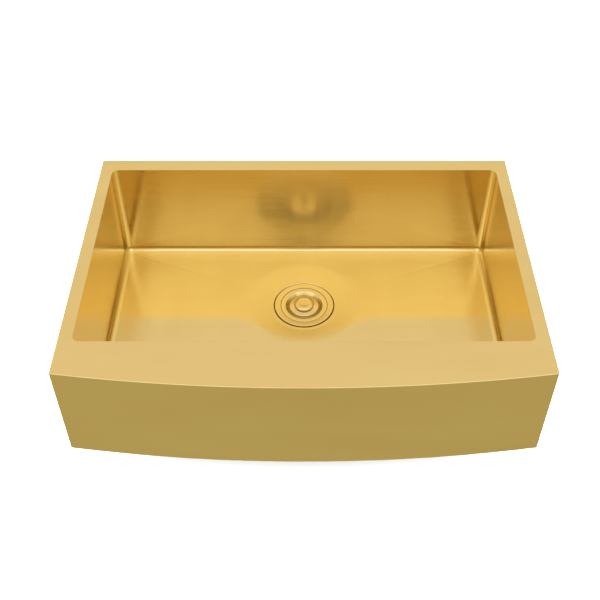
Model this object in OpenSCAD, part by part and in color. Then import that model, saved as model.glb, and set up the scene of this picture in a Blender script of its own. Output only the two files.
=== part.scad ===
// Apron-front single-bowl kitchen sink in gold-finished stainless sheet, with its basket strainer drain.
// Millimetres. The origin is where the drain's vertical axis meets the plane of the rim's top face.
// X runs to the right, Y runs from the apron to the back, Z is up.

/* [Rim and apron] */
// Width over the rim and the apron
sink_w = 762; // [700:1:840]
// Rim beside the bowl, at the left and the right
rim_side = 22.5; // [18:0.5:35]
// Rim behind the bowl
rim_back = 30; // [20:1:60]
// Ledge between the bowl and the apron's corners
ledge = 64; // [50:1:80]
// How far the apron bows out at its middle
apron_bow = 27; // [15:1:40]
// Height of the apron, from the rim's top
apron_h = 192; // [170:1:260]
// How far the apron's ends turn back along the sides
apron_return = 60; // [30:1:60]
// Width of the lip welded round the apron's bottom edge
lip_w = 18; // [10:1:30]

/* [Bowl] */
// Inside depth from front to back
bowl_d = 422; // [380:1:460]
// Inside height from the floor's edge to the rim's top
bowl_depth = 205; // [190:1:260]
// Inside radius of the bowl's corners and floor bends
bend_r = 12; // [6:1:20]
// How far the floor falls from its edges to the dish round the drain
floor_fall = 1; // [0.5:0.5:4]
// Depth of the dish pressed round the drain
dish_fall = 3; // [1:0.5:5]
// Radius of that dish
dish_r = 105; // [90:1:110]
// Thickness of the steel sheet
sheet_t = 1.5; // [1.2:0.1:2]
// Thickness of the sound pads
pad_t = 3; // [2:0.5:5]

/* [Drain] */
// From the drain's axis to the bowl's back wall
drain_from_back = 149; // [110:1:211]
// Outside diameter of the strainer's flange
flange_d = 112.5; // [112:0.1:116]
// Diameter of the hole in the bowl's floor
hole_d = 89; // [88:0.5:90]
// Depth of the strainer cup below the floor at the drain
cup_depth = 48; // [46:1:60]
// Outside diameter of the tailpiece
tailpiece_d = 38.1; // [37:0.1:39]
// Length of the tailpiece below its flange
tailpiece_len = 102; // [60:1:200]

/* [Basket] */
// Outside diameter of the basket's rim
basket_rim_d = 87.4; // [86:0.1:89.4]
// Diameter across the top of the basket's trough
basket_mouth_d = 68.8; // [66:0.1:70]
// Depth of the basket's trough below its rim
basket_depth = 5.5; // [5:0.1:6]
// Diameter of the pull knob
knob_d = 38; // [34:0.1:40]

/* [Hidden] */

gold = "#d6b25e";
rubber = "#3b3b3d";
slack = 0.05;            // gap between pieces of one assembly that touch on curved faces
fit_gap = 0.1;           // gap between pieces that are lifted apart, and round a hole in thin sheet
over = 1;                // how far a cutting shape runs past what it cuts

// Plan of the rim and the bowl
bowl_w = sink_w - 2 * rim_side;
bowl_back = drain_from_back;
bowl_front = bowl_back - bowl_d;
deck_back = bowl_back + rim_back;
apron_corner = bowl_front - ledge;
apron_middle = apron_corner - apron_bow;
bow_r = (pow(sink_w / 2, 2) + pow(apron_bow, 2)) / (2 * apron_bow);
return_end = apron_corner + apron_return;

// Levels of the bowl's floor, seen from inside
floor_z = -bowl_depth;
dish_z = floor_z - floor_fall;
drain_z = dish_z - dish_fall;
recess_depth = 3;
recess_gap = 0.9;        // between the flange's edge and the recess round it
recess_bevel = 2.2;
brink_w = 2;             // level ring round the recess
recess_z = drain_z - recess_depth;
recess_r = flange_d / 2 + recess_gap;
fall_r = recess_r + recess_bevel + brink_w;

// Levels and radii of the strainer body
seal_t = 1;
body_t = 1.2;
flange_r = flange_d / 2;
flange_proud = 0.3;      // how far the flange stands above the floor round it
flange_z = drain_z + flange_proud;
seat_gap = 0.7;          // between the basket's rim and the wall of its seat
seat_r = basket_rim_d / 2 + seat_gap;
seat_z = recess_z + body_t + fit_gap;
cup_r = 40.2;
cup_z = drain_z - cup_depth;
cup_wall = 1.4;
thread_h = 0.8;
thread_pitch = 1.5;
outlet_r = 20;
ledge_r = 18.6;
nipple_r = 22.9;
nipple_len = 28;
nipple_z = cup_z - nipple_len;
outlet_len = 11;         // from the cup's floor to the ledge that the crossbar stands on
crossbar_z = cup_z - outlet_len;
crossbar_t = 4;
crossbar_hole_r = 6;

// Stack under the sink's floor
gasket_t = 3;
friction_t = 1;
locknut_h = 11;
gasket_z = recess_z - sheet_t - gasket_t;
friction_z = gasket_z - friction_t;
locknut_z = friction_z - locknut_h;
thread_gap = 0.2;        // between a thread's crest and the nut's bore
nut_bore_r = cup_r + cup_wall + thread_h + thread_gap;
gasket_r = 56;

// Tailpiece and its nut
washer_t = 2;
tail_t = 1.2;
tail_r = tailpiece_d / 2;
tail_top = nipple_z - washer_t;
tail_collar_len = 22;
tail_collar_r = tail_r + 0.3;
tail_flange_r = nipple_r - 0.3;
nut_play = 0.3;          // between the collar and the nut that turns on it

// Basket: from the rim a sloping wall, a trough, a steep inner wall, a brow, and a crown that rises gently
// to a flat under the knob. Slopes are angles from the horizontal, and each meets the next in a bend
basket_t = 0.8;
crown_rise = 0.5;        // of the crown's flat above the rim
rim_top_z = seat_z + basket_t;
groove_z = rim_top_z - basket_depth;
crown_z = rim_top_z + crown_rise;
wall_angle = 45;
inner_angle = 75;
crown_angle = 8;
shoulder_bend = 2;
trough_bend = 1.2;
brow_bend = 1.5;
brow_drop = 1.6;
shoulder_r = basket_mouth_d / 2 + shoulder_bend;
wall_drop = basket_depth - (shoulder_bend + trough_bend) * (1 - cos(wall_angle));
trough_r = shoulder_r - (shoulder_bend + trough_bend) * sin(wall_angle) - wall_drop / tan(wall_angle);
trough_z = groove_z + trough_bend;
brow_z = crown_z - brow_drop - brow_bend * cos(crown_angle);
inner_rise = brow_z - trough_z + (brow_bend + trough_bend) * cos(inner_angle);
brow_r = trough_r - (brow_bend + trough_bend) * sin(inner_angle) - inner_rise / tan(inner_angle);
crown_r = brow_r + brow_bend * sin(crown_angle) - brow_drop / tan(crown_angle);

// Knob, post and stopper
post_r = 4;
shank_r = 5;
knob_r = knob_d / 2;
knob_rise = 6;           // of the knob's top above the flange
knob_h = 6.5;
stub_len = 2.5;          // of the post inside the knob, above the knob's underside
knob_top = flange_z + knob_rise;
knob_z = knob_top - knob_h;
stub_top = knob_z + stub_len;
collar_t = 2;
stopper_r = 27;
stopper_h = 13;
stopper_recess = 1.9;
stopper_z = cup_z + fit_gap;
stopper_top = stopper_z + stopper_h;
stopper_recess_z = stopper_z + stopper_recess;
washer_plate_t = 1;
stopper_nut_t = 4;
nut_z = stopper_recess_z - washer_plate_t - stopper_nut_t;
post_below_crossbar = 6;
post_head_t = 2;
post_head_r = 5.2;
post_end = crossbar_z - post_below_crossbar;
sleeve_play = 0.3;       // lets the sleeve turn between the post's head and the nut
sleeve_z = post_end + post_head_t + fit_gap;
sleeve_top = nut_z - sleeve_play;

// Points on an arc, from angle a0 to a1, in n steps
function arc(centre, r, a0, a1, n = 6) =
    [for (i = [0:n]) centre + r * [cos(a0 + (a1 - a0) * i / n), sin(a0 + (a1 - a0) * i / n)]];

// Thread profile up a shank of this root radius, between two levels, as a row of ridges
function thread_points(root_r, bottom, top) =
    [for (i = [0:floor((top - bottom) / thread_pitch) - 1])
        each [[root_r, bottom + i * thread_pitch], [root_r + thread_h, bottom + (i + 0.5) * thread_pitch]]];

module rounded_rect(x0, y0, x1, y1, r) {
    polygon(concat(arc([x1 - r, y1 - r], r, 0, 90, 12), arc([x0 + r, y1 - r], r, 90, 180, 12),
        arc([x0 + r, y0 + r], r, 180, 270, 12), arc([x1 - r, y0 + r], r, 270, 360, 12)));
}

module ring(r_in, r_out, z, h) {
    translate([0, 0, z]) difference() {
        cylinder(r = r_out, h = h, $fn = 96);
        translate([0, 0, -over]) cylinder(r = r_in, h = h + 2 * over, $fn = 96);
    }
}

// ---- Sheet metal ----

// Plan area inside the bowed front and the two sides, inset from both, from the front to y_back
module front_plan(inset, y_back) {
    intersection() {
        translate([0, apron_middle + bow_r]) circle(r = bow_r - inset, $fn = 720);
        translate([-sink_w / 2 + inset, apron_middle - over])
            square([sink_w - 2 * inset, y_back - apron_middle + over]);
    }
}

module rim_deck() {
    color(gold) translate([0, 0, -sheet_t]) linear_extrude(sheet_t) difference() {
        front_plan(0, deck_back);
        rounded_rect(-bowl_w / 2, bowl_front, bowl_w / 2, bowl_back, bend_r);
    }
}

// Solid that fills the bowl up to z_top, grown outwards by skin
module bowl_solid(skin, z_top) {
    hull() for (x = [-1, 1], y = [bowl_front + bend_r, bowl_back - bend_r])
        translate([x * (bowl_w / 2 - bend_r), y, floor_z + bend_r]) {
            sphere(r = bend_r + skin, $fn = 32);
            cylinder(r = bend_r + skin, h = z_top - floor_z - bend_r, $fn = 32);
        }
}

// Shallow pressed fall from the floor's bends to the dish, and the dish down to the drain
module floor_fall_solid(skin) {
    hull() {
        translate([-bowl_w / 2 + bend_r, bowl_front + bend_r, floor_z - skin])
            cube([bowl_w - 2 * bend_r, bowl_d - 2 * bend_r, bend_r]);
        translate([0, 0, dish_z - skin]) cylinder(r = dish_r, h = bend_r, $fn = 96);
    }
    translate([0, 0, drain_z - skin]) cylinder(r1 = fall_r, r2 = dish_r, h = dish_fall, $fn = 96);
}

module drain_recess(skin) {
    translate([0, 0, recess_z - skin])
        cylinder(r1 = recess_r + skin, r2 = recess_r + recess_bevel + skin, h = recess_depth, $fn = 96);
}

module bowl() {
    color(gold) difference() {
        union() {
            bowl_solid(sheet_t, -sheet_t);
            floor_fall_solid(sheet_t);
            drain_recess(sheet_t);
        }
        bowl_solid(0, over);
        floor_fall_solid(0);
        drain_recess(0);
        translate([0, 0, recess_z - 3 * sheet_t]) cylinder(d = hole_d, h = bend_r, $fn = 96);
    }
}

module apron_panel() {
    color(gold) translate([0, 0, -apron_h + sheet_t]) linear_extrude(apron_h - 2 * sheet_t) difference() {
        front_plan(0, return_end);
        front_plan(sheet_t, return_end + over);
    }
}

module apron_bottom_lip() {
    color(gold) translate([0, 0, -apron_h]) linear_extrude(sheet_t) difference() {
        front_plan(0, return_end);
        front_plan(lip_w, return_end + over);
    }
}

// Bent strap that ties the apron to the bowl's front wall: a foot on each and a web between them
brace_x = 190;
brace_w = 40;
brace_top = -80;
brace_foot = 45;

module brace_slice(z, h) {
    translate([-brace_w / 2, apron_middle, z]) cube([brace_w, bowl_front - sheet_t - apron_middle, h]);
}

module apron_brace(side) {
    color(gold) intersection() {
        translate([side * brace_x, 0, 0]) union() {
            brace_slice(brace_top - sheet_t, sheet_t);
            translate([-brace_w / 2, bowl_front - 2 * sheet_t, brace_top - brace_foot])
                cube([brace_w, sheet_t, brace_foot]);
            difference() {
                brace_slice(brace_top - brace_foot, brace_foot);
                translate([-side * brace_x, apron_middle + bow_r, brace_top - brace_foot - over])
                    cylinder(r = bow_r - 2 * sheet_t - slack, h = brace_foot + 2 * over, $fn = 720);
            }
        }
        translate([0, apron_middle + bow_r, brace_top - brace_foot - over])
            cylinder(r = bow_r - sheet_t - slack, h = brace_foot + 2 * over, $fn = 720);
    }
}

// ---- Sound pads ----

pad_gap = 14;            // bare sheet between neighbouring pads
pad_corner = 10;
wall_pad_h = 120;
wall_pad_z = -45;
pad_edge = 34;           // bare sheet between a pad and the bowl's edge

// A pad on the underside of the sloping floor, with this outline seen from above
module floor_pad(outline) {
    color(rubber) intersection() {
        difference() {
            floor_fall_solid(sheet_t + pad_t);
            floor_fall_solid(sheet_t);
        }
        translate([0, 0, drain_z - 2 * bend_r]) linear_extrude(2 * bend_r + floor_z - drain_z - sheet_t)
            offset(r = pad_corner, $fn = 32) offset(delta = -pad_corner) polygon(outline);
    }
}

pad_x0 = fall_r + 28;
pad_x1 = bowl_w / 2 - pad_edge;
pad_y0 = bowl_front + pad_edge;
pad_y1 = bowl_back - pad_edge;
pad_notch = 44;          // half the length of a side pad's inner edge
pad_run = pad_x1 - pad_x0;

module floor_pad_side(side) {
    floor_pad([[side * pad_x1, pad_y0], [side * pad_x1, pad_y1],
        [side * pad_x0, pad_notch], [side * pad_x0, -pad_notch]]);
}

module floor_pad_front() {
    rise = (-pad_notch - pad_y0) / pad_run;
    x_low = pad_x1 - pad_gap / rise - pad_gap;
    x_high = pad_x0 - pad_gap;
    y_high = -fall_r - pad_gap;
    floor_pad([[-x_low, pad_y0], [x_low, pad_y0], [x_high, y_high], [-x_high, y_high]]);
}

module floor_pad_back() {
    y_low = fall_r + pad_gap;
    x_high = pad_x0 + pad_run / 3;
    floor_pad([[-pad_x0 + pad_gap, y_low], [pad_x0 - pad_gap, y_low], [x_high, pad_y1], [-x_high, pad_y1]]);
}

// A pad standing on edge, centred on x = 0, with its back on the plane y = 0 and its body towards -Y
module wall_pad(width) {
    color(rubber) rotate([90, 0, 0]) linear_extrude(pad_t)
        rounded_rect(-width / 2, wall_pad_z - wall_pad_h, width / 2, wall_pad_z, pad_corner);
}

wall_pad_side_w = 300;
wall_pad_back_w = 520;
wall_pad_front_w = 300;
bowl_middle_y = (bowl_front + bowl_back) / 2;

module wall_pad_side(side) {
    translate([side * (bowl_w / 2 + sheet_t), bowl_middle_y, 0]) rotate([0, 0, side * 90])
        wall_pad(wall_pad_side_w);
}

module wall_pad_front() {
    translate([0, bowl_front - sheet_t, 0]) wall_pad(wall_pad_front_w);
}

module wall_pad_back() {
    translate([0, bowl_back + sheet_t, 0]) rotate([0, 0, 180]) wall_pad(wall_pad_back_w);
}

// ---- Strainer body and what clamps it ----

thread_top = gasket_z;
thread_bottom = cup_z + 10;
nipple_thread_top = cup_z - body_t - 7;

// Pressed cup: flange, seat for the basket's rim, threaded wall, floor and threaded outlet nipple
module strainer_body() {
    wall_r = cup_r + cup_wall;
    edge_r = 1;              // rounding of the flange's edge
    lip_r = 0.9;             // rounding above the seat
    lip_z = flange_z - 0.7;  // the flange slopes in to this level
    mouth_r = 1.5;           // rounding below the seat
    foot_r = 6;              // inside bend at the cup's foot
    neck_r = 2;              // bend between the cup's floor and the nipple
    chamfer = 0.6;
    under_floor = cup_z - body_t;
    under_seat = seat_z - body_t;
    under_flange = recess_z + seal_t;
    inside = concat(
        arc([flange_r - edge_r, flange_z - edge_r], edge_r, 0, 90),
        [[seat_r + lip_r + 1.5, lip_z]],
        arc([seat_r + lip_r, lip_z - lip_r], lip_r, 90, 180),
        [[seat_r, seat_z]],
        arc([cup_r + mouth_r, seat_z - mouth_r], mouth_r, 90, 180),
        arc([cup_r - foot_r, cup_z + foot_r], foot_r, 0, -90),
        [[outlet_r, cup_z], [outlet_r, crossbar_z], [ledge_r, crossbar_z], [ledge_r, nipple_z]]);
    outside = concat(
        [[nipple_r, nipple_z]],
        thread_points(nipple_r, nipple_z + 1, nipple_thread_top),
        arc([nipple_r + neck_r, under_floor - neck_r], neck_r, 180, 90),
        arc([wall_r - foot_r - 1, under_floor + foot_r + 1], foot_r + 1, -90, 0),
        thread_points(wall_r, thread_bottom, thread_top),
        [[wall_r, under_seat], [seat_r + body_t, under_seat], [seat_r + body_t, under_flange],
            [flange_r - chamfer, under_flange], [flange_r, under_flange + chamfer]]);
    color(gold) rotate_extrude($fn = 96) polygon(concat(inside, outside));
}

module flange_seal() {
    color(rubber) ring(seat_r + body_t + 3 * fit_gap, flange_r - 1, recess_z, seal_t);
}

// Spider that stands on the ledge in the outlet, with the hub that the basket's catch snaps through
module outlet_crossbar() {
    rim_w = 1.5;
    hub_r = 9.5;
    rib_w = 3;
    color("silver") translate([0, 0, crossbar_z]) difference() {
        union() {
            ring(outlet_r - rim_w - slack, outlet_r - slack, 0, crossbar_t);
            cylinder(r = hub_r, h = crossbar_t, $fn = 96);
            for (a = [0:90:359]) rotate([0, 0, a])
                translate([hub_r - over, -rib_w / 2, 0])
                    cube([outlet_r - rim_w - hub_r + 1.5 * over, rib_w, crossbar_t]);
        }
        translate([0, 0, -over]) cylinder(r = crossbar_hole_r, h = crossbar_t + 2 * over, $fn = 96);
    }
}

module sink_gasket() {
    color(rubber) ring(nut_bore_r, gasket_r, gasket_z, gasket_t);
}

module friction_ring() {
    color("#c9b48a") ring(nut_bore_r, gasket_r - 1, friction_z, friction_t);
}

// Cast ring nut with lugs round it for a spanner
module locknut() {
    body_r = 51;
    lug_r = 56;
    lug_w = 9;
    lugs = 8;
    flange_h = 3;
    color("silver") difference() {
        union() {
            translate([0, 0, locknut_z]) cylinder(r = body_r, h = locknut_h, $fn = 96);
            translate([0, 0, friction_z - flange_h]) cylinder(r = lug_r, h = flange_h, $fn = 96);
            for (i = [0:lugs - 1]) rotate([0, 0, i * 360 / lugs])
                translate([body_r - 3, -lug_w / 2, locknut_z]) cube([lug_r - body_r + 2, lug_w, locknut_h]);
        }
        translate([0, 0, locknut_z - over]) cylinder(r = nut_bore_r, h = locknut_h + 2 * over, $fn = 96);
    }
}

module tailpiece_washer() {
    color("white") ring(tail_r - tail_t, tail_flange_r, tail_top, washer_t);
}

// Flanged tube; its upper stretch is a thicker collar inside the nut
module tailpiece() {
    bore_r = tail_r - tail_t;
    end_z = tail_top - tailpiece_len;
    color("silver") rotate_extrude($fn = 96) polygon([
        [bore_r, tail_top], [tail_flange_r, tail_top], [tail_flange_r, tail_top - tail_t],
        [tail_collar_r, tail_top - tail_t], [tail_collar_r, tail_top - tail_collar_len],
        [tail_r, tail_top - tail_collar_len - 1],
        [tail_r, end_z], [bore_r, end_z]]);
}

// Slip nut that draws the tailpiece's flange up against the nipple
module coupling_nut() {
    body_r = 27.5;
    lip_t = 3;
    grip = 15;               // how far the nut reaches up the nipple
    lug_r = 30.5;
    lug_w = 6;
    lugs = 6;
    top = nipple_z + grip;
    bottom = tail_top - tail_t - lip_t;
    color("silver") difference() {
        union() {
            translate([0, 0, bottom]) cylinder(r = body_r, h = top - bottom, $fn = 96);
            for (i = [0:lugs - 1]) rotate([0, 0, i * 360 / lugs])
                translate([body_r - 3, -lug_w / 2, bottom])
                    cube([lug_r - body_r + 3, lug_w, top - bottom - 2]);
        }
        translate([0, 0, bottom + lip_t])
            cylinder(r = nipple_r + thread_h + thread_gap, h = top - bottom, $fn = 96);
        translate([0, 0, bottom - over])
            cylinder(r = tail_collar_r + nut_play, h = lip_t + 2 * over, $fn = 96);
    }
}

// ---- Basket and stopper ----

// One face of the basket's pressed sheet, at a depth below its upper face, from the mouth to the post
function basket_face(depth) = concat(
    arc([shoulder_r, rim_top_z - shoulder_bend], shoulder_bend - depth, 90, 90 + wall_angle),
    arc([trough_r, trough_z], trough_bend + depth, wall_angle - 90, -90 - inner_angle, 12),
    arc([brow_r, brow_z], brow_bend - depth, 90 - inner_angle, 90 - crown_angle),
    [[crown_r, crown_z - depth], [post_r + fit_gap, crown_z - depth]]);

function reversed(points) = [for (i = [len(points) - 1:-1:0]) points[i]];

// Two rings of holes: one down through the trough's floor, one inwards through its inner wall
module basket_holes() {
    floor_hole_r = 0.9;
    wall_hole_r = 1.1;
    wall_hole_z = trough_z + trough_bend + 0.2;
    per_row = 40;
    step = 360 / per_row;
    for (i = [0:per_row - 1]) rotate([0, 0, i * step]) {
        translate([trough_r, 0, groove_z - 3 * basket_t])
            cylinder(r = floor_hole_r, h = 4 * basket_t, $fn = 24);
        rotate([0, 0, step / 2]) translate([brow_r - 3 * basket_t, 0, wall_hole_z]) rotate([0, 90, 0])
            cylinder(r = wall_hole_r, h = trough_r - brow_r + 3 * basket_t, $fn = 24);
    }
}

// Perforated basket with a wide flat rim that lies on the strainer body's seat
module basket() {
    edge_r = 0.35;
    rim_r = basket_rim_d / 2;
    color(gold) difference() {
        rotate_extrude($fn = 96) polygon(concat(
            [[rim_r, seat_z]],
            arc([rim_r - edge_r, rim_top_z - edge_r], edge_r, 0, 90),
            basket_face(0),
            reversed(basket_face(basket_t))));
        basket_holes();
    }
}

// Round pull knob: a slightly dished top, a broad shoulder, an undercut, and a hub that stands on the crown
module knob() {
    dish = 0.5;
    shoulder_bend = 5.5;
    shoulder_angle = 48;
    side_bend = 1.2;
    foot_bend = 1;
    rim_w = 4;               // of the flat ring under the knob's edge
    undercut = 2;
    hub_r = 7.5;
    shoulder_run = (shoulder_bend - side_bend) * sin(shoulder_angle);
    crest_r = knob_r - side_bend - shoulder_run;
    side_z = knob_top - shoulder_bend + (shoulder_bend - side_bend) * cos(shoulder_angle);
    color(gold) difference() {
        rotate_extrude($fn = 96) polygon(concat(
            [[0, knob_top - dish], [crest_r - 3, knob_top - dish]],
            arc([crest_r, knob_top - shoulder_bend], shoulder_bend, 90, 90 - shoulder_angle),
            arc([knob_r - side_bend, side_z], side_bend, 90 - shoulder_angle, 0),
            arc([knob_r - foot_bend, knob_z + foot_bend], foot_bend, 0, -90),
            [[knob_r - rim_w, knob_z], [knob_r - rim_w - 1, knob_z + undercut], [hub_r, knob_z + undercut],
                [hub_r, crown_z], [0, crown_z]]));
        translate([0, 0, crown_z - over])
            cylinder(r = post_r + slack, h = stub_top + 0.5 - crown_z + over, $fn = 96);
    }
}

// Turned post: a stub in the knob, a collar under the crown, a shank, a collar on the stopper and a
// riveted end
module post() {
    upper_collar_r = 7;
    lower_collar_r = 8;
    rivet_chamfer = 0.6;
    under_crown = crown_z - basket_t;
    color(gold) rotate_extrude($fn = 96) polygon([
        [0, stub_top], [post_r, stub_top], [post_r, under_crown],
        [upper_collar_r, under_crown], [upper_collar_r, under_crown - collar_t],
        [shank_r, under_crown - collar_t], [shank_r, stopper_top + collar_t],
        [lower_collar_r, stopper_top + collar_t], [lower_collar_r, stopper_top],
        [post_r, stopper_top], [post_r, post_end + post_head_t], [post_head_r, post_end + post_head_t],
        [post_head_r, post_end + rivet_chamfer], [post_head_r - rivet_chamfer, post_end], [0, post_end]]);
}

// Rubber bell on the post that closes the outlet
module stopper() {
    bore_r = post_r + fit_gap;
    neck_r = 10;
    neck_h = 4;
    lip_r = 1;
    lip_h = 3.2;
    chamfer = 0.5;
    color(rubber) rotate_extrude($fn = 96) polygon(concat(
        [[bore_r, stopper_top], [neck_r, stopper_top], [neck_r, stopper_top - neck_h]],
        arc([stopper_r - lip_r, stopper_z + lip_h - lip_r], lip_r, 120, 0, 4),
        [[stopper_r, stopper_z + chamfer], [stopper_r - chamfer, stopper_z], [outlet_r + 1, stopper_z],
            [outlet_r - 3, stopper_recess_z], [bore_r, stopper_recess_z]]));
}

module stopper_washer() {
    washer_r = 10;
    color("silver") ring(post_r + fit_gap, washer_r, stopper_recess_z - washer_plate_t, washer_plate_t);
}

module stopper_nut() {
    nut_r = 7.5;
    color("silver") difference() {
        translate([0, 0, nut_z]) cylinder(r = nut_r, h = stopper_nut_t, $fn = 6);
        translate([0, 0, nut_z - over])
            cylinder(r = post_r + slack, h = stopper_nut_t + 2 * over, $fn = 96);
    }
}

// Split spring sleeve that turns on the post's end, drawn pressed in as it passes through the crossbar
module catch_sleeve() {
    bulge_r = crossbar_hole_r - 0.2;
    waist_r = bulge_r - 0.7;
    bulge_h = 2;             // height of the bulge, and of the slope on each side of it
    slit_w = 1.2;
    color("silver") difference() {
        rotate_extrude($fn = 96) polygon([
            [post_r + slack, sleeve_z], [waist_r, sleeve_z], [bulge_r, sleeve_z + bulge_h],
            [bulge_r, sleeve_z + 2 * bulge_h], [waist_r, sleeve_z + 3 * bulge_h], [waist_r, sleeve_top],
            [post_r + slack, sleeve_top]]);
        translate([0, -slit_w / 2, sleeve_z - over])
            cube([crossbar_hole_r, slit_w, sleeve_top - sleeve_z + 2 * over]);
    }
}

rim_deck();
bowl();
apron_panel();
apron_bottom_lip();
apron_brace(-1);  // apron_brace_left
apron_brace(1);  // apron_brace_right
floor_pad_side(-1);  // floor_pad_left
floor_pad_side(1);  // floor_pad_right
floor_pad_front();
floor_pad_back();
wall_pad_side(-1);  // wall_pad_left
wall_pad_side(1);  // wall_pad_right
wall_pad_front();
wall_pad_back();
strainer_body();
flange_seal();
outlet_crossbar();
sink_gasket();
friction_ring();
locknut();
tailpiece_washer();
tailpiece();
coupling_nut();
basket();
knob();
post();
stopper();
stopper_washer();
stopper_nut();
catch_sleeve();
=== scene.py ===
import math

import bmesh
import bpy
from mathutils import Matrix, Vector


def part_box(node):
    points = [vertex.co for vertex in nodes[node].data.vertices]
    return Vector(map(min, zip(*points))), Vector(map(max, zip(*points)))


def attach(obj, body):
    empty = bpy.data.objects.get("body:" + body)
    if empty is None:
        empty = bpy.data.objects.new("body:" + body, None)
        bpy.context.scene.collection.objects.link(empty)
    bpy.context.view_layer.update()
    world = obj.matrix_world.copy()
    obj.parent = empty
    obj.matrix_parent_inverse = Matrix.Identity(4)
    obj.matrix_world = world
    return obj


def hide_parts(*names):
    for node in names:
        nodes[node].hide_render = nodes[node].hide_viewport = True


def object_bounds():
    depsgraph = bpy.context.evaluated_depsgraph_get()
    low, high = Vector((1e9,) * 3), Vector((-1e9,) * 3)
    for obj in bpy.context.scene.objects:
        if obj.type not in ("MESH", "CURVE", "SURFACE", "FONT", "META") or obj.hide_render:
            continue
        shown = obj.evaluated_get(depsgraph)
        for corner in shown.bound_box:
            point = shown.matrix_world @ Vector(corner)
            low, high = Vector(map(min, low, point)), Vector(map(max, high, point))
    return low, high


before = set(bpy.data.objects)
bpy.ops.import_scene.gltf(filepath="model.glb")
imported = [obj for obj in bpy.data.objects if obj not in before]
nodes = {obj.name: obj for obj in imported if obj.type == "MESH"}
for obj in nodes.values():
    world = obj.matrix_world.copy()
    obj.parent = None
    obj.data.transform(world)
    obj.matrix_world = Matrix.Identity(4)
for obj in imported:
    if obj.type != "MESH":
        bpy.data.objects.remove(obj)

cad_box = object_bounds()

# ---- Driving sizes, in metres, read from the CAD frame ----

rim_low, rim_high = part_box("rim_deck")
bowl_low, bowl_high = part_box("bowl")
apron_low, apron_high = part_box("apron_panel")
lip_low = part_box("apron_bottom_lip")[0]
body_low, body_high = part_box("strainer_body")
basket_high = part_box("basket")[1]
knob_low, knob_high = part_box("knob")
spider_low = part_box("outlet_crossbar")[0]
stopper_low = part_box("stopper")[0]

NEAR = 1e-5                          # two lengths closer than this are the same
SHEET = rim_high.z - rim_low.z
HALF_W = rim_high.x
DECK_BACK = rim_high.y
APRON_FRONT = apron_low.y
RETURN_END = apron_high.y
OPENING_X = bowl_high.x - SHEET
OPENING_FRONT = bowl_low.y + SHEET
OPENING_BACK = bowl_high.y - SHEET
FLANGE_Z = body_high.z
FLANGE_R = body_high.x

# The apron's corner line, and the radius of the arc that bows the apron out in front of it
CORNER_Y = min(v.co.y for v in nodes["apron_panel"].data.vertices if v.co.x > HALF_W - NEAR)
BOW = CORNER_Y - APRON_FRONT
BOW_R = (HALF_W ** 2 + BOW ** 2) / (2 * BOW)
BOW_CENTRE_Y = APRON_FRONT + BOW_R

# Sheet-metal details
BEND_R = 0.012                       # inside radius of the bowl's bends
EDGE_R = 0.0012                      # rounding of the rim's outer edge and of the apron's bottom edge
ARRIS_R = 0.0004                     # rounding of the bowl's opening
CORNER_R = 0.002                     # rounding of the apron's and rim's upright corners
LEAST_R = 1e-4                       # least radius of an outline's corner
LIP_W = 0.018                        # width of the lip under the apron
SHARP_ANGLE = 35                     # degrees: two faces that meet more sharply than this show an edge
MERGE = 1e-6                         # points closer than this are one point

# The bowl's floor falls to a dish, the dish to a recess, and the recess holds the strainer's flange
FLOOR_FALL = 0.001
DISH_DEPTH = 0.003
DISH_R = 0.105
RECESS_DEPTH = 0.003
RECESS_GAP = 0.0009                  # between the flange's edge and the recess round it
RECESS_ROUND = 0.002                 # rounding of the recess's upper edge
BRINK_W = 0.002                      # width of the level ring round the recess
CREASE = 0.00015                     # depth of the creases pressed from the floor's corners to the dish
HOLE_R = 0.0445
DRAIN_Z = bowl_low.z + SHEET + RECESS_DEPTH
DISH_Z = DRAIN_Z + DISH_DEPTH
FLOOR_Z = DISH_Z + FLOOR_FALL
RECESS_R = FLANGE_R + RECESS_GAP

# Levels and radii of the drain's turned pieces
BASKET_T = 0.0008                    # thickness of the basket's sheet
CROWN_RISE = 0.0005                  # of the flat under the knob above the basket's rim
SEAT_GAP = 0.0007                    # between the basket's rim and the wall of its seat
STOPPER_GAP = 0.0001                 # between the stopper and the cup's floor
SEAL_T = 0.001                       # thickness of the seal under the flange
GASKET_T = 0.003                     # thickness of the gasket under the bowl
BODY_T = 0.0012
CUP_WALL = 0.0014
CUP_R = 0.0402
OUTLET_R = 0.020
LEDGE_R = 0.0186
NIPPLE_R = 0.0229
THREAD_H = 0.0008
THREAD_PITCH = 0.0015
BASKET_R = basket_high.x
SEAT_R = BASKET_R + SEAT_GAP
CROWN_Z = basket_high.z
BASKET_TOP = CROWN_Z - CROWN_RISE
SEAT_Z = BASKET_TOP - BASKET_T
CUP_FLOOR = stopper_low.z - STOPPER_GAP
SPIDER_Z = spider_low.z
NIPPLE_Z = body_low.z
SEAL_TOP = DRAIN_Z - RECESS_DEPTH + SEAL_T
GASKET_Z = DRAIN_Z - RECESS_DEPTH - SHEET - GASKET_T

# How finely the lofted and turned pieces are divided
CORNER_N = 12
SIDE_N = 48
TURN_N = 192
HOLE_N = 20
EDGE_N = 6                           # round an outer edge
ARRIS_N = 3
BEND_N = 10
WALL_N = 8                           # down the bowl's wall
PANEL_N = 6                          # down the apron
FLOOR_N = 12                         # from the bowl's bends to the dish
DISH_N = 6
BRINK_N = 5
EASING_N = 6                         # round an eased corner of a turned piece
FINE_EASING_N = 2                    # the same, if its radius is no more than FINE_EASING
FINE_EASING = 0.0004

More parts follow.
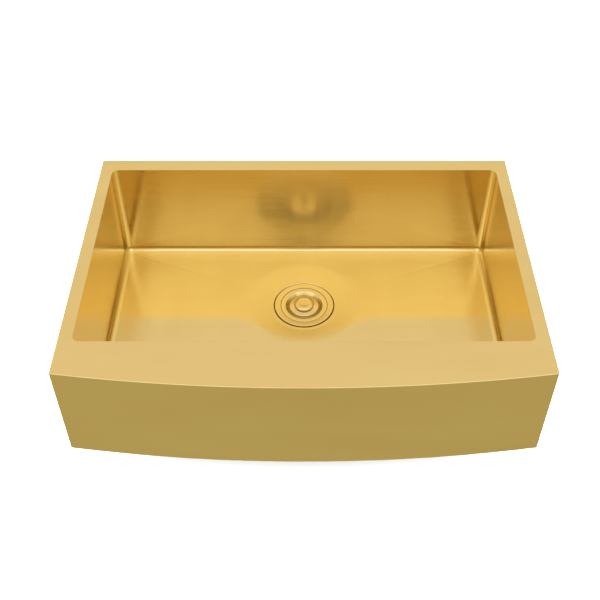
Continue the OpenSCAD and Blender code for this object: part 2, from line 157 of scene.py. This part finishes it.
# Wear with a painted highlight on sharp edges, and painted shade in gaps and hollows, both from 0 to 1
WEAR_AND_HIGHLIGHT_TURN = 350                      # radians a metre: how sharply an edge turns before it shows wear and a painted highlight
WEAR_AND_HIGHLIGHT_LEAST = 0.3                     # of the edges' wear and painted highlight, which come in patches
WEAR_AND_HIGHLIGHT_MOST = 0.8
GAP_PAINTED_SHADE = 0.9                    # painted shade in the narrow gaps of the drain
UNDERCUT_PAINTED_SHADE = 0.7               # painted shade under the knob
TROUGH_PAINTED_SHADE = 0.35                # painted shade in the basket's trough

# Colours
WHITE = (1, 1, 1)
GOLD_LIGHT = (0.86, 0.71, 0.36)
GOLD_DEEP = (0.83, 0.67, 0.33)
# Colour of worn edges, also a painted highlight
GOLD_WORN_AND_HIGHLIT = (0.92, 0.80, 0.50)
# Colour of the painted shade in gaps and hollows
PAINTED_SHADE_COLOR = (0.16, 0.085, 0.015)
STEEL_LIGHT = (0.66, 0.66, 0.65)
STEEL_DEEP = (0.58, 0.58, 0.57)
# Colour of worn edges, also a painted highlight
STEEL_WORN_AND_HIGHLIT = (0.75, 0.75, 0.74)
WORLD_HIGH = (0.89, 0.77, 0.57)
WORLD_LOW = (0.51, 0.44, 0.23)

# Grains, in cells per metre. A third value of 1 is on an axis that isn't used
BRUSHED_CELLS = (5, 1100, 1)         # along the brushing, and across it
SMEAR_CELLS = (3, 14, 1)             # the same, for the drift of the brushed sheet's colour
TURNED_CELLS = (2500, 2500, 1)       # across the rings, and along the drain's axis
CLOUD_CELLS = (40, 40, 40)
# Patches of the edges' wear and painted highlight
WEAR_AND_HIGHLIGHT_CELLS = (20, 20, 20)
MOTTLE_RATIO = 25                    # how much wider a rough solid's mottles are than its grains
QUARTER_OF_TURN = 0.25


# ---- Outlines: loops of points that all have the same count, so any two can be joined by faces ----

def arc(cx, cy, r, start, end, n):
    """Points on an arc, angles in radians."""
    steps = [start + (end - start) * i / n for i in range(n + 1)]
    return [(cx + r * math.cos(a), cy + r * math.sin(a)) for a in steps]


def quarter_steps(n):
    """Angles from 0 to a quarter turn."""
    return [math.pi / 2 * k / n for k in range(n + 1)]


def whole_turn(n):
    """Angles all the way round."""
    return [2 * math.pi * k / n for k in range(n)]


def circle(r, z, angles):
    """Points at these angles on a level circle round the drain's axis."""
    return [Vector((r * math.cos(a), r * math.sin(a), z)) for a in angles]


def join_corners(corners, front_points=None):
    """A closed loop through four corner arcs, from the back right one anticlockwise, with straight sides
    between them, whose points crowd towards the corners. front_points stand in for the front side."""
    loop = []
    for i, corner in enumerate(corners):
        loop += corner
        if i == 2 and front_points:
            loop += front_points
            continue
        (ax, ay), (bx, by) = corner[-1], corners[(i + 1) % 4][0]
        shares = [(1 - math.cos(math.pi * k / SIDE_N)) / 2 for k in range(1, SIDE_N)]
        loop += [(ax + (bx - ax) * t, ay + (by - ay) * t) for t in shares]
    return loop


def opening_loop(grow, z):
    """The bowl's plan, grown outwards by grow, at height z."""
    r = max(BEND_R + grow, LEAST_R)
    x = OPENING_X + grow - r
    front = OPENING_FRONT - grow + r
    back = OPENING_BACK + grow - r
    quarter = math.pi / 2
    centres = [(x, back), (-x, back), (-x, front), (x, front)]
    corners = [arc(cx, cy, r, i * quarter, (i + 1) * quarter, CORNER_N)
               for i, (cx, cy) in enumerate(centres)]
    return [Vector((px, py, z)) for px, py in join_corners(corners)]


def rim_loop(inset, z):
    """The rim's outer plan with its bowed front, drawn in by inset, at height z."""
    r = max(CORNER_R - inset, LEAST_R)
    x = HALF_W - inset - r
    y_back = DECK_BACK - inset - r
    bow = BOW_R - inset
    y_front = BOW_CENTRE_Y - math.sqrt((bow - r) ** 2 - x ** 2)
    lean = math.atan2(y_front - BOW_CENTRE_Y, x)
    corners = [
        arc(x, y_back, r, 0, math.pi / 2, CORNER_N),
        arc(-x, y_back, r, math.pi / 2, math.pi, CORNER_N),
        arc(-x, y_front, r, math.pi, math.pi - lean, CORNER_N),
        arc(x, y_front, r, lean, 0, CORNER_N),
    ]
    front = arc(0, BOW_CENTRE_Y, bow, math.pi - lean, 2 * math.pi + lean, SIDE_N)[1:-1]
    return [Vector((px, py, z)) for px, py in join_corners(corners, front)]


def drain_loop(r, z):
    """A circle round the drain, whose points face those of the bowl's floor."""
    return circle(r, z, [math.atan2(p.y, p.x) for p in opening_loop(-BEND_R, 0)])


def blend_loops(a, b, n):
    """n - 1 loops between a and b."""
    return [[p.lerp(q, k / n) for p, q in zip(a, b)] for k in range(1, n)]


# ---- Meshes ----

def add_object(name, data):
    """A new object in the scene."""
    made = bpy.data.objects.new(name, data)
    bpy.context.scene.collection.objects.link(made)
    return made


def to_mesh(name, bm):
    """The mesh of a bmesh, which is used up."""
    mesh = bpy.data.meshes.new(name)
    bm.to_mesh(mesh)
    bm.free()
    return mesh


def grain_uv(bm, flats_along_y):
    """Box-maps the faces in metres, with U along the brushing: along X, but along Y on faces that look
    along X and, if flats_along_y, on the level ones too."""
    layer = bm.loops.layers.uv.new("grain")
    for face in bm.faces:
        n = face.normal
        faces_x = abs(n.x) > abs(n.y) and abs(n.x) > abs(n.z)
        level = abs(n.z) >= abs(n.y) and not faces_x
        for loop in face.loops:
            p = loop.vert.co
            if level:
                loop[layer].uv = (p.y, p.x) if flats_along_y else (p.x, p.y)
            else:
                loop[layer].uv = (p.y if faces_x else p.x, p.z)


def mark_wear_and_highlight(bm):
    """Writes each vertex's wear and painted highlight: 1 where the sheet turns sharply round an outer
    edge, 0 on flats and in hollows."""
    layer = bm.verts.layers.float.new("wear_and_highlight")
    for edge in bm.edges:
        if len(edge.link_faces) != 2:
            continue
        width = sum(f.calc_area() for f in edge.link_faces) / 2 / max(edge.calc_length(), MERGE)
        if edge.calc_face_angle_signed(0) > WEAR_AND_HIGHLIGHT_TURN * width:
            for vert in edge.verts:
                vert[layer] = 1.0


def mark_painted_shade(bm, painted_shade):
    """Writes each vertex's painted shade, which the given function of (r, z) works out from its distance
    from the drain's axis and its height."""
    layer = bm.verts.layers.float.new("painted_shade")
    for vert in bm.verts:
        vert[layer] = painted_shade(vert.co.xy.length, vert.co.z)


def clean(bm):
    """Merges the points that meet, drops what has no face, and turns every face outwards."""
    bmesh.ops.remove_doubles(bm, verts=bm.verts, dist=MERGE)
    bmesh.ops.dissolve_degenerate(bm, edges=bm.edges, dist=MERGE)
    bmesh.ops.delete(bm, geom=[e for e in bm.edges if not e.link_faces], context="EDGES")
    bmesh.ops.recalc_face_normals(bm, faces=bm.faces)
    bm.normal_update()


def make_piece(name, bm, body, replaced, material, painted_shade=None, flats_along_y=False):
    """Turns a bmesh into a smooth-shaded piece that rides on a body and stands for CAD nodes."""
    clean(bm)
    grain_uv(bm, flats_along_y)
    mark_wear_and_highlight(bm)
    # Painted shade in gaps and hollows, where the piece is given it
    if painted_shade:
        mark_painted_shade(bm, painted_shade)
    mesh = to_mesh(name, bm)
    mesh.shade_smooth()
    mesh.set_sharp_from_angle(angle=math.radians(SHARP_ANGLE))
    mesh.materials.append(material)
    piece = add_object(name, mesh)
    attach(piece, body)
    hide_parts(*replaced)


def join_rows(bm, rows, close_rows, close_section):
    """Adds faces between neighbouring rows of vertices. close_rows joins each row's end to its start, and
    close_section the last row to the first."""
    pairs = list(zip(rows, rows[1:]))
    if close_section:
        pairs.append((rows[-1], rows[0]))
    for a, b in pairs:
        for i in range(len(a) if close_rows else len(a) - 1):
            j = (i + 1) % len(a)
            bm.faces.new((a[i], a[j], b[j], b[i]))


def loft(loops, close_section):
    """A bmesh with faces between neighbouring closed loops."""
    bm = bmesh.new()
    rows = [[bm.verts.new(p) for p in loop] for loop in loops]
    join_rows(bm, rows, True, close_section)
    return bm


# ---- Materials ----

def new_material(name):
    material = bpy.data.materials.new(name)
    material.use_nodes = True
    tree = material.node_tree
    return material, tree, tree.nodes["Principled BSDF"]


def node(tree, kind, **settings):
    made = tree.nodes.new(kind)
    for key, value in settings.items():
        setattr(made, key, value)
    return made


def noise(tree, vector, cells, detail):
    """A noise texture of a vector, with this many cells per metre on each axis."""
    stretch = node(tree, "ShaderNodeVectorMath", operation="MULTIPLY")
    stretch.inputs[1].default_value = cells
    tree.links.new(vector, stretch.inputs[0])
    texture = node(tree, "ShaderNodeTexNoise")
    texture.inputs["Scale"].default_value = 1.0
    texture.inputs["Detail"].default_value = detail
    tree.links.new(stretch.outputs[0], texture.inputs["Vector"])
    return texture.outputs["Fac"]


def spread(tree, value, low, high, start=0.3, end=0.7):
    """Maps a value from start..end, by default the middle of a noise, to low..high."""
    ramp = node(tree, "ShaderNodeMapRange")
    ramp.inputs["From Min"].default_value = start
    ramp.inputs["From Max"].default_value = end
    ramp.inputs["To Min"].default_value = low
    ramp.inputs["To Max"].default_value = high
    tree.links.new(value, ramp.inputs["Value"])
    return ramp.outputs["Result"]


def mix_colors(tree, factor, a, b):
    """Mixes two colours, each either constant or linked."""
    mix = node(tree, "ShaderNodeMix", data_type="RGBA")
    tree.links.new(factor, mix.inputs["Factor"])
    for name, color in (("A", a), ("B", b)):
        if isinstance(color, tuple):
            mix.inputs[name].default_value = (*color, 1)
        else:
            tree.links.new(color, mix.inputs[name])
    return mix.outputs["Result"]


def cloudy(tree, place, cells, detail, light, deep):
    """A colour that drifts between two."""
    return mix_colors(tree, spread(tree, noise(tree, place, cells, detail), 0, 1), light, deep)


def wear_highlight_and_shade(tree, color, place, worn_and_highlit):
    """The colour with its sharp edges brighter, in patches, as wear and a painted highlight, and
    painted shade in its gaps and hollows.
    """
    # Sharp edges brighter: wear and a painted highlight
    wear_and_highlight = node(tree, "ShaderNodeAttribute", attribute_name="wear_and_highlight").outputs["Fac"]
    patches = spread(tree, noise(tree, place, WEAR_AND_HIGHLIGHT_CELLS, detail=3), WEAR_AND_HIGHLIGHT_LEAST, WEAR_AND_HIGHLIGHT_MOST)
    patchy = node(tree, "ShaderNodeMath", operation="MULTIPLY")
    tree.links.new(wear_and_highlight, patchy.inputs[0])
    tree.links.new(patches, patchy.inputs[1])
    # Painted shade in gaps and hollows
    painted_shade = node(tree, "ShaderNodeAttribute", attribute_name="painted_shade").outputs["Fac"]
    return mix_colors(tree, painted_shade, mix_colors(tree, patchy.outputs[0], color, worn_and_highlit), PAINTED_SHADE_COLOR)


def set_surface(tree, shader, color, metallic, grain, roughness, depth, strength):
    """Gives the shader its colour, and a roughness range and a bump that follow the grain."""
    tree.links.new(color, shader.inputs["Base Color"])
    tree.links.new(spread(tree, grain, *roughness), shader.inputs["Roughness"])
    shader.inputs["Metallic"].default_value = metallic
    bump = node(tree, "ShaderNodeBump")
    bump.inputs["Strength"].default_value = strength
    bump.inputs["Distance"].default_value = depth
    tree.links.new(grain, bump.inputs["Height"])
    tree.links.new(bump.outputs["Normal"], shader.inputs["Normal"])


def stretch_highlights(tree, shader, amount, tangent):
    """Stretches the reflections across the grain, which runs along the tangent."""
    shader.inputs["Anisotropic"].default_value = amount
    shader.inputs["Anisotropic Rotation"].default_value = QUARTER_OF_TURN
    tree.links.new(tangent.outputs["Tangent"], shader.inputs["Tangent"])


def brushed_gold(name, roughness):
    """Gold-coated sheet, brushed along the U of its grain map, brighter on its sharp edges as wear and a
    painted highlight, and darker with painted shade in its gaps and hollows.
    """
    material, tree, shader = new_material(name)
    uv = node(tree, "ShaderNodeUVMap", uv_map="grain").outputs["UV"]
    grain = noise(tree, uv, BRUSHED_CELLS, detail=5)
    color = cloudy(tree, uv, SMEAR_CELLS, 2, GOLD_LIGHT, GOLD_DEEP)
    set_surface(tree, shader, wear_highlight_and_shade(tree, color, uv, GOLD_WORN_AND_HIGHLIT), metallic=1.0, grain=grain,
                roughness=roughness, depth=0.000004, strength=0.5)
    tangent = node(tree, "ShaderNodeTangent", direction_type="UV_MAP", uv_map="grain")
    stretch_highlights(tree, shader, 0.8, tangent)
    return material


def turned_metal(name, light, deep, worn_and_highlit, roughness):
    """Metal with fine rings round the drain's axis, as a lathe or a spinning pad leaves, brighter on its
    sharp edges as wear and a painted highlight, and darker with painted shade in gaps and hollows.
    """
    material, tree, shader = new_material(name)
    place = node(tree, "ShaderNodeTexCoord").outputs["Object"]
    split = node(tree, "ShaderNodeSeparateXYZ")
    tree.links.new(place, split.inputs[0])
    flat = node(tree, "ShaderNodeCombineXYZ")
    tree.links.new(split.outputs["X"], flat.inputs["X"])
    tree.links.new(split.outputs["Y"], flat.inputs["Y"])
    length = node(tree, "ShaderNodeVectorMath", operation="LENGTH")
    tree.links.new(flat.outputs[0], length.inputs[0])
    rings = node(tree, "ShaderNodeCombineXYZ")
    tree.links.new(length.outputs["Value"], rings.inputs["X"])
    tree.links.new(split.outputs["Z"], rings.inputs["Y"])
    grain = noise(tree, rings.outputs[0], TURNED_CELLS, detail=2)
    color = cloudy(tree, place, CLOUD_CELLS, 2, light, deep)
    set_surface(tree, shader, wear_highlight_and_shade(tree, color, place, worn_and_highlit), metallic=1.0, grain=grain,
                roughness=roughness, depth=0.00001, strength=0.4)
    tangent = node(tree, "ShaderNodeTangent", direction_type="RADIAL", axis="Z")
    stretch_highlights(tree, shader, 0.4, tangent)
    return material


def rough_solid(name, light, deep, metallic, roughness, cells, depth):
    """Cast metal, rubber, fibre or plastic: a mottled colour and a grain of this many cells per metre."""
    material, tree, shader = new_material(name)
    place = node(tree, "ShaderNodeTexCoord").outputs["Object"]
    grain = noise(tree, place, (cells,) * 3, detail=5)
    color = cloudy(tree, place, (cells / MOTTLE_RATIO,) * 3, 3, light, deep)
    set_surface(tree, shader, color, metallic, grain, roughness, depth, strength=0.6)
    return material


gold_sheet = brushed_gold("brushed_gold", roughness=(0.12, 0.26))
gold_bowl = brushed_gold("polished_gold", roughness=(0.10, 0.22))
gold_turned = turned_metal("turned_gold", GOLD_LIGHT, GOLD_DEEP, GOLD_WORN_AND_HIGHLIT, roughness=(0.10, 0.20))
steel_turned = turned_metal("turned_steel", STEEL_LIGHT, STEEL_DEEP, STEEL_WORN_AND_HIGHLIT, roughness=(0.22, 0.34))
cast_brass = rough_solid(
    "cast_brass", light=(0.70, 0.52, 0.27), deep=(0.60, 0.43, 0.20), metallic=1.0,
    roughness=(0.35, 0.55), cells=900, depth=0.0002)
pad_rubber = rough_solid(
    "pad_rubber", light=(0.030, 0.030, 0.032), deep=(0.019, 0.019, 0.021), metallic=0.0,
    roughness=(0.75, 0.95), cells=700, depth=0.0004)
seal_rubber = rough_solid(
    "seal_rubber", light=(0.022, 0.022, 0.023), deep=(0.014, 0.014, 0.015), metallic=0.0,
    roughness=(0.45, 0.6), cells=1200, depth=0.0001)
fibre = rough_solid(
    "fibre", light=(0.42, 0.32, 0.20), deep=(0.33, 0.24, 0.14), metallic=0.0,
    roughness=(0.8, 0.95), cells=1500, depth=0.0001)
white_plastic = rough_solid(
    "white_plastic", light=(0.80, 0.80, 0.78), deep=(0.74, 0.74, 0.72), metallic=0.0,
    roughness=(0.4, 0.5), cells=600, depth=0.00005)

# The CAD nodes that stay in view
finishes = [
    (gold_turned, ["post", "apron_brace_left", "apron_brace_right"]),
    (steel_turned, ["outlet_crossbar", "tailpiece", "stopper_washer", "stopper_nut", "catch_sleeve"]),
    (cast_brass, ["locknut", "coupling_nut"]),
    (pad_rubber, [name for name in nodes if "_pad_" in name]),
    (seal_rubber, ["flange_seal", "sink_gasket", "stopper"]),
    (fibre, ["friction_ring"]),
    (white_plastic, ["tailpiece_washer"]),
]
for finish, names in finishes:
    for name in names:
        nodes[name].data.materials.clear()
        nodes[name].data.materials.append(finish)


# ---- Rim ----

def make_rim():
    loops = [opening_loop(ARRIS_R * (1 - math.sin(a)), -ARRIS_R * (1 - math.cos(a)))
             for a in reversed(quarter_steps(ARRIS_N))]
    loops += [rim_loop(EDGE_R * (1 - math.sin(a)), -EDGE_R * (1 - math.cos(a)))
              for a in quarter_steps(EDGE_N)]
    loops.append(rim_loop(0, -SHEET))
    loops.append(opening_loop(0, -SHEET))
    make_piece("rim_deck_sheet", loft(loops, True), "sink", ["rim_deck"], gold_sheet)


# ---- Bowl ----

def press_creases(loop, depth):
    """Lowers the points that lie on the spokes of the bowl's four corners, and the ones beside them."""
    for start in range(0, len(loop), CORNER_N + SIDE_N):
        for i in range(start - 1, start + CORNER_N + 2):
            loop[i % len(loop)].z -= depth
    return loop


def bowl_skin(out):
    """Loops down one face of the bowl's sheet, from its top edge to the drain hole. out is how far the face
    lies outside the inner one."""
    bend = BEND_R + out
    wall_foot = FLOOR_Z + BEND_R
    loops = [opening_loop(out, -SHEET + (wall_foot + SHEET) * k / WALL_N) for k in range(WALL_N)]
    loops += [opening_loop(out - bend * (1 - math.cos(a)), wall_foot - bend * math.sin(a))
              for a in quarter_steps(BEND_N)]
    dish_edge = drain_loop(DISH_R, DISH_Z - out)
    floor = blend_loops(loops[-1], dish_edge, FLOOR_N)
    loops += [press_creases(loop, CREASE * (1 - k / len(floor))) for k, loop in enumerate(floor)]
    loops.append(dish_edge)
    brink_z = DRAIN_Z - out
    recess_z = DRAIN_Z - RECESS_DEPTH - out
    round_r = RECESS_ROUND + out
    brink = drain_loop(RECESS_R + round_r + BRINK_W, brink_z)
    loops += blend_loops(dish_edge, brink, DISH_N)
    loops.append(brink)
    loops += [drain_loop(RECESS_R + round_r * (1 - math.sin(a)), brink_z - RECESS_ROUND * (1 - math.cos(a)))
              for a in quarter_steps(BRINK_N)]
    loops.append(drain_loop(RECESS_R + out, recess_z))
    loops.append(drain_loop(HOLE_R, recess_z))
    return loops


def make_bowl():
    loops = bowl_skin(0) + list(reversed(bowl_skin(SHEET)))
    dark_below = DRAIN_Z - 0.0013

    # Painted shade on the recess round the strainer's flange, below its upper rounding
    def painted_shade(r, z):
        return GAP_PAINTED_SHADE if r < RECESS_R + RECESS_ROUND and z < dark_below else 0.0

    make_piece("bowl_sheet", loft(loops, True), "sink", ["bowl"], gold_bowl, painted_shade,
               flats_along_y=True)


# ---- Apron ----

def make_apron():
    """One folded sheet: the bowed panel, its side returns, and the lip turned in under its bottom edge."""
    bottom = lip_low.z
    drop = bottom + EDGE_R + SHEET
    section = [(0, -SHEET + drop * k / PANEL_N) for k in range(PANEL_N)]
    section += [(EDGE_R * (1 - math.cos(a)), bottom + EDGE_R * (1 - math.sin(a)))
                for a in quarter_steps(EDGE_N)]
    section += [(LIP_W, bottom), (LIP_W, bottom + SHEET), (SHEET, bottom + SHEET), (SHEET, -SHEET)]
    corner = CORNER_N + 1
    side = SIDE_N - 1
    first = 2 * (corner + side)
    last = first + corner + side + corner
    bm = bmesh.new()
    rows = []
    for inset, z in section:
        path = rim_loop(inset, z)[first:last]
        start, end = [Vector((p.x, RETURN_END, p.z)) for p in (path[0], path[-1])]
        rows.append([bm.verts.new(p) for p in [start, *path, end]])
    join_rows(bm, rows, close_rows=False, close_section=True)
    for i in (0, -1):
        bm.faces.new([row[i] for row in rows])
    make_piece("apron_sheet", bm, "sink", ["apron_panel", "apron_bottom_lip"], gold_sheet)


# ---- Drain: sections are (radius, height) points, and corners are (radius, height, easing) ----

def eased(corners):
    """The points of a section through corners: an arc of radius easing rounds each, in fewer steps if it is
    small, and an easing of 0 keeps the corner sharp."""
    points = []
    for i, (r, z, easing) in enumerate(corners):
        here = Vector((r, z))
        if easing == 0:
            points.append(here)
            continue
        back = (Vector(corners[i - 1][:2]) - here).normalized()
        on = (Vector(corners[(i + 1) % len(corners)][:2]) - here).normalized()
        half = back.angle(on) / 2
        steps = EASING_N if easing > FINE_EASING else FINE_EASING_N
        centre = here + (back + on).normalized() * easing / math.sin(half)
        start = here + back * easing / math.tan(half) - centre
        end = here + on * easing / math.tan(half) - centre
        points += [centre + start.lerp(end, k / steps).normalized() * easing for k in range(steps + 1)]
    return points


def thickened(path, thickness):
    """A closed section: along a path, and back along its offset to the left."""
    offset = []
    for i, point in enumerate(path):
        along = (path[min(i + 1, len(path) - 1)] - path[max(i - 1, 0)]).normalized()
        offset.append(point + Vector((-along.y, along.x)) * thickness)
    return path + offset[::-1]


def turn(section):
    """Turns a closed section round the drain's axis."""
    angles = whole_turn(TURN_N)
    return loft([circle(r, z, angles) for r, z in section], True)


def thread(root_r, bottom, top):
    """Corners of a thread's ridges up a shank."""
    root_easing = 0.0001
    crest_easing = 0.0002
    corners = []
    for k in range(int((top - bottom) / THREAD_PITCH)):
        z = bottom + k * THREAD_PITCH
        corners.append((root_r, z, root_easing))
        corners.append((root_r + THREAD_H, z + THREAD_PITCH / 2, crest_easing))
    return corners


def make_strainer_body():
    """The pressed cup: flange, seat, threaded wall, floor, and the threaded nipple under it."""
    wall_r = CUP_R + CUP_WALL
    lip_z = FLANGE_Z - 0.0007        # the flange slopes in to this level
    under_seat = SEAT_Z - BODY_T
    under_floor = CUP_FLOOR - BODY_T
    plain_tip = 0.0010               # of the nipple, below its thread
    plain_neck = 0.0070              # of the nipple, above its thread
    plain_foot = 0.0100              # of the cup, below its thread
    corners = [
        (FLANGE_R, FLANGE_Z, 0.0010),            # edge of the flange
        (SEAT_R + 0.0024, lip_z, 0.0020),        # foot of its slope
        (SEAT_R, lip_z, 0.0009),                 # lip over the seat
        (SEAT_R, SEAT_Z, 0.0001),
        (CUP_R, SEAT_Z, 0.0015),                 # mouth of the cup
        (CUP_R, CUP_FLOOR, 0.0060),
        (OUTLET_R, CUP_FLOOR, 0.0005),
        (OUTLET_R, SPIDER_Z, 0.0001),            # ledge that the crossbar stands on
        (LEDGE_R, SPIDER_Z, 0.0002),
        (LEDGE_R, NIPPLE_Z, 0.0003),             # end of the nipple
        (NIPPLE_R, NIPPLE_Z, 0.0003),
    ]
    corners += thread(NIPPLE_R, NIPPLE_Z + plain_tip, under_floor - plain_neck)
    corners += [
        (NIPPLE_R, under_floor, 0.0020),
        (wall_r, under_floor, 0.0070),           # foot of the cup
    ]
    corners += thread(wall_r, CUP_FLOOR + plain_foot, GASKET_Z)
    corners += [
        (wall_r, under_seat, 0.0003),
        (SEAT_R + BODY_T, under_seat, 0.0003),
        (SEAT_R + BODY_T, SEAL_TOP, 0.0002),     # underside of the flange
        (FLANGE_R, SEAL_TOP, 0.0005),
    ]

    # Painted shade on the flange's edge in the gap to the recess, and down the wall of the basket's seat
    def painted_shade(r, z):
        in_gap = r > FLANGE_R - 0.0004 and z < FLANGE_Z - 0.0002
        round_seat = SEAT_R - 0.0003 < r < SEAT_R + 0.0006 and z < lip_z - 0.0001
        return GAP_PAINTED_SHADE if in_gap or round_seat else 0.0

    make_piece("strainer_body_turned", turn(eased(corners)), "sink", ["strainer_body"],
               gold_turned, painted_shade)


def cylinder(r, start, end):
    """A closed cylinder from start to end."""
    turned = (end - start).to_track_quat("Z", "Y")
    points = [turned @ p for p in circle(r, 0, whole_turn(HOLE_N))]
    bm = loft([[start + p for p in points], [end + p for p in points]], False)
    bm.verts.ensure_lookup_table()
    bm.faces.new(bm.verts[:HOLE_N][::-1])
    bm.faces.new(bm.verts[HOLE_N:])
    return bm


def join(parts):
    """One bmesh of several."""
    whole = bmesh.new()
    for part in parts:
        mesh = to_mesh("part", part)
        whole.from_mesh(mesh)
        bpy.data.meshes.remove(mesh)
    return whole


def cut(bm, cutter):
    """One closed bmesh less another."""
    clean(bm)
    clean(cutter)
    body = add_object("body", to_mesh("body", bm))
    tool = add_object("tool", to_mesh("tool", cutter))
    boolean = body.modifiers.new("cut", "BOOLEAN")
    boolean.operation = "DIFFERENCE"
    boolean.solver = "EXACT"
    boolean.object = tool
    result = bmesh.new()
    result.from_object(body, bpy.context.evaluated_depsgraph_get())
    for part in (body, tool):
        mesh = part.data
        bpy.data.objects.remove(part)
        bpy.data.meshes.remove(mesh)
    return result


def make_basket():
    """Pressed sheet: a flat rim, a sloping wall, a perforated trough, and a crown that the knob stands on."""
    path = [
        (BASKET_R, BASKET_TOP, 0),
        (0.03557, BASKET_TOP, 0.0020),                # shoulder, where the rim turns down into the wall
        (0.02895, BASKET_TOP - 0.00662, 0.0012),      # trough, where the wall meets the inner wall
        (0.02751, BASKET_TOP - 0.00124, 0.0015),      # brow, at the top of the inner wall
        (0.01514, CROWN_Z, 0.0100),                   # edge of the crown's flat
        (0.0041, CROWN_Z, 0),                         # hole for the post
    ]
    trough_r = 0.02957
    trough_floor = BASKET_TOP - 0.0055
    below_floor = Vector((0, 0, 0.002))
    above_floor = Vector((0, 0, 0.0006))
    wall_level = Vector((0, 0, trough_floor + 0.0026))
    wall_inside = 0.0245
    wall_outside = 0.0290
    floor_hole_r = 0.0009
    wall_hole_r = 0.0011
    per_row = 40
    step = 2 * math.pi / per_row
    holes = []
    for k in range(per_row):
        spoke, between = circle(1, 0, [k * step, (k + 0.5) * step])
        low = spoke * trough_r + Vector((0, 0, trough_floor))
        holes.append(cylinder(floor_hole_r, low - below_floor, low + above_floor))
        start = wall_level + between * wall_inside
        end = wall_level + between * wall_outside
        holes.append(cylinder(wall_hole_r, start, end))
    sheet = turn(thickened(eased(path), BASKET_T))

    # Painted shade on the rim's edge in the gap to its seat, and lighter painted shade in the trough
    def painted_shade(r, z):
        at_edge = r > BASKET_R - 0.0002 and z < BASKET_TOP - 0.0001
        in_trough = abs(r - trough_r) < 0.002 and z < trough_floor + 0.0015
        return GAP_PAINTED_SHADE if at_edge else TROUGH_PAINTED_SHADE if in_trough else 0.0

    make_piece("basket_pressed", cut(sheet, join(holes)), "basket", ["basket"], gold_turned,
               painted_shade)


def make_knob():
    """Round pull knob: a slightly dished top, a broad shoulder, an undercut, and a hub on the crown."""
    knob_r = knob_high.x
    top = knob_high.z
    foot = top - 0.0065
    undercut = foot + 0.0020
    hub_r = 0.0075
    corners = [
        (0, top - 0.0006, 0),                         # middle of the dish
        (0.0095, top - 0.0005, 0.0200),
        (0.0125, top, 0.0060),                        # crest round the dish
        (knob_r - 0.0015, top - 0.0022, 0.0055),      # shoulder
        (knob_r, top - 0.0045, 0.0012),               # side
        (knob_r - 0.0006, foot, 0.0010),
        (knob_r - 0.0050, foot, 0.0010),              # inner edge of the foot
        (knob_r - 0.0060, undercut, 0.0010),
        (hub_r, undercut, 0.0010),
        (hub_r, knob_low.z, 0.0003),
        (0, knob_low.z, 0),
    ]

    # Painted shade on the knob's underside, from just above its foot down
    def painted_shade(r, z):
        return UNDERCUT_PAINTED_SHADE if z < foot + 0.0008 else 0.0

    make_piece("knob_turned", turn(eased(corners)), "basket", ["knob"], gold_turned, painted_shade)


make_rim()
make_bowl()
make_apron()
make_strainer_body()
make_basket()
make_knob()


# ---- Studio ----

def make_camera():
    """Looks down at the sink from in front of the apron's middle."""
    pitch_down = 44.24
    data = bpy.data.cameras.new("camera")
    data.lens = 54.385
    data.shift_x = -0.0068
    data.shift_y = -0.0613
    camera = add_object("camera", data)
    camera.location = (0, -1.1886, 1.0589)
    camera.rotation_euler = (math.radians(90 - pitch_down), 0, 0)
    bpy.context.scene.camera = camera


def make_world():
    """Soft warm light from all round, dimmer from below. Seen directly, past the floor, it is white."""
    world = bpy.data.worlds.new("studio")
    bpy.context.scene.world = world
    world.use_nodes = True
    tree = world.node_tree
    direction = node(tree, "ShaderNodeTexCoord").outputs["Generated"]
    split = node(tree, "ShaderNodeSeparateXYZ")
    tree.links.new(direction, split.inputs[0])
    height = spread(tree, split.outputs["Z"], 0, 1, start=-0.5, end=0.3)
    color = mix_colors(tree, height, WORLD_LOW, WORLD_HIGH)
    seen = node(tree, "ShaderNodeLightPath").outputs["Is Camera Ray"]
    tree.links.new(mix_colors(tree, seen, color, WHITE), tree.nodes["Background"].inputs["Color"])


def one_face(name, corners, material_name, color, roughness):
    """An object of one face, plain in colour, for the stage."""
    bm = bmesh.new()
    bm.faces.new([bm.verts.new(corner) for corner in corners])
    material, _, shader = new_material(material_name)
    shader.inputs["Base Color"].default_value = (*color, 1)
    shader.inputs["Roughness"].default_value = roughness
    mesh = to_mesh(name, bm)
    mesh.materials.append(material)
    return add_object(name, mesh)


def make_floor():
    """A plain pale floor just under the drain's tailpiece. Metal mirrors the world in its place."""
    size = 3
    z = cad_box[0].z - 0.001
    corners = [(-size, -size, z), (size, -size, z), (size, size, z), (-size, size, z)]
    floor = one_face("floor", corners, "pale_floor", color=(0.88, 0.93, 1.0), roughness=0.9)
    floor.visible_glossy = False


def make_flag():
    """A dark cloth behind the lens and a little below it, which only mirrored light sees: it dims the middle
    of the bowl's back wall."""
    half_w = 0.075
    low = 0.70
    high = 1.10
    y = -1.26
    corners = [(-half_w, y, low), (half_w, y, low), (half_w, y, high), (-half_w, y, high)]
    flag = one_face("flag", corners, "dark_cloth", color=(0.05, 0.045, 0.04), roughness=1.0)
    flag.visible_camera = False
    flag.visible_diffuse = False
    flag.visible_shadow = False


def add_light(name, place, aim, size, power, color, mirrored):
    """A rectangular light. Metal shows it only if it is mirrored."""
    data = bpy.data.lights.new(name, "AREA")
    data.shape = "RECTANGLE"
    data.size, data.size_y = size
    data.energy = power
    data.color = color
    light = add_object(name, data)
    light.visible_glossy = mirrored
    light.location = place
    light.rotation_euler = (Vector(aim) - Vector(place)).to_track_quat("-Z", "Y").to_euler()


make_camera()
make_world()
make_floor()
make_flag()
add_light("key", place=(0, -1.2, 3.2), aim=(0, -0.1, -0.2), size=(5, 4), power=800, color=WHITE,
          mirrored=False)
add_light("softbox", place=(-0.3, -0.775, 1.6), aim=(-0.3, 0.19, 0.45), size=(3.2, 1.24), power=7.0,
          color=(0.80, 0.87, 0.95), mirrored=True)
bpy.context.scene.view_settings.view_transform = "Standard"
